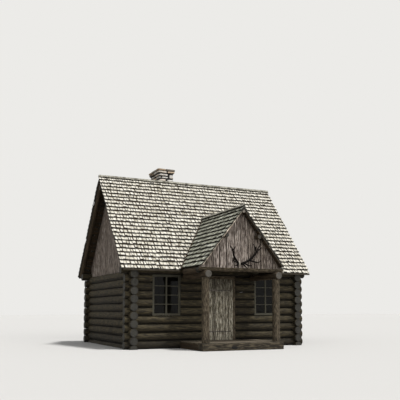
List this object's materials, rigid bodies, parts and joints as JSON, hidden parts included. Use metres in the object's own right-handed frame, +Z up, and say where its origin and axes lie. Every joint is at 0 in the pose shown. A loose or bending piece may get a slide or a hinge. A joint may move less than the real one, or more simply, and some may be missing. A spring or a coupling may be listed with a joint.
{
  "type": "log cabin",
  "caption": "Small saddle-notched log cabin with a steep shake roof, gabled porch on posts, plank door, paned windows and a fieldstone chimney.",
  "frame": {"origin": "on the ground, under the middle of the whole outline in plan", "axes": "+X to the right along the front wall, +Y to the back, +Z up"},
  "size_m": [6.64, 6.852, 6.1906],
  "materials": {
    "weathered_logs": "grey-brown weathered round logs, checked, with pale cut ends",
    "roof_shakes": "split wood shakes weathered to pale grey, dark between courses",
    "weathered_boards": "rough-sawn boards weathered grey-brown",
    "trim_boards": "narrow weathered trim boards, a little paler",
    "framing_poles": "peeled poles, brown in the roof's shade",
    "floor_boards": "worn floor and deck boards",
    "door_boards": "upright planks, weathered with pale streaks",
    "window_paint": "pale grey weathered window timber",
    "black_iron": "dark forged iron, slightly rusty",
    "window_glass": "dark old window glass",
    "fieldstone": "flat fieldstones, tan, grey and pale, in dark joints",
    "antler": "dark antler with a pale skull plate"
  },
  "bodies": {
    "cabin": {"front_logs_even": "weathered_logs", "front_logs_odd": "weathered_logs", "back_logs_even": "weathered_logs", "back_logs_odd": "weathered_logs", "side_logs_even": "weathered_logs", "side_logs_odd": "weathered_logs", "side_sills": "weathered_logs", "wall_plates": "weathered_logs", "floor_joists": "framing_poles", "floor_boards": "floor_boards", "deck_timber": "floor_boards", "deck_boards": "floor_boards", "rafters_front": "framing_poles", "rafters_back": "framing_poles", "ridge_pole": "framing_poles", "gable_boards_left": "weathered_boards", "gable_boards_right": "weathered_boards", "roof_boards_front": "weathered_boards", "roof_boards_back": "weathered_boards", "roof_shakes_front": "roof_shakes", "roof_shakes_back": "roof_shakes", "fascia_boards": "trim_boards", "verge_boards": "trim_boards", "porch_posts": "weathered_logs", "porch_plates": "weathered_logs", "tie_beam": "weathered_logs", "porch_poles": "framing_poles", "porch_gable_boards": "weathered_boards", "porch_boards_left": "weathered_boards", "porch_boards_right": "weathered_boards", "porch_shakes_left": "roof_shakes", "porch_shakes_right": "roof_shakes", "porch_verge_boards": "trim_boards", "door_frame": "trim_boards", "door_pintles": "black_iron", "window_frames": "window_paint", "window_glass": "window_glass", "chimney_stack": "fieldstone", "chimney_top": "fieldstone", "chimney_cap": "fieldstone", "antlers": "antler"},
    "door": {"door_leaf": "door_boards", "door_ledges": "door_boards", "door_straps": "black_iron", "door_pull": "black_iron"}
  },
  "joints": [
    {"name": "door_hinge", "type": "hinge", "parent": "cabin", "child": "door", "pos_m": [-0.42, -1.7925, 1.1], "axis": [0, 0, -1], "range_deg": [0, 100]}
  ]
}
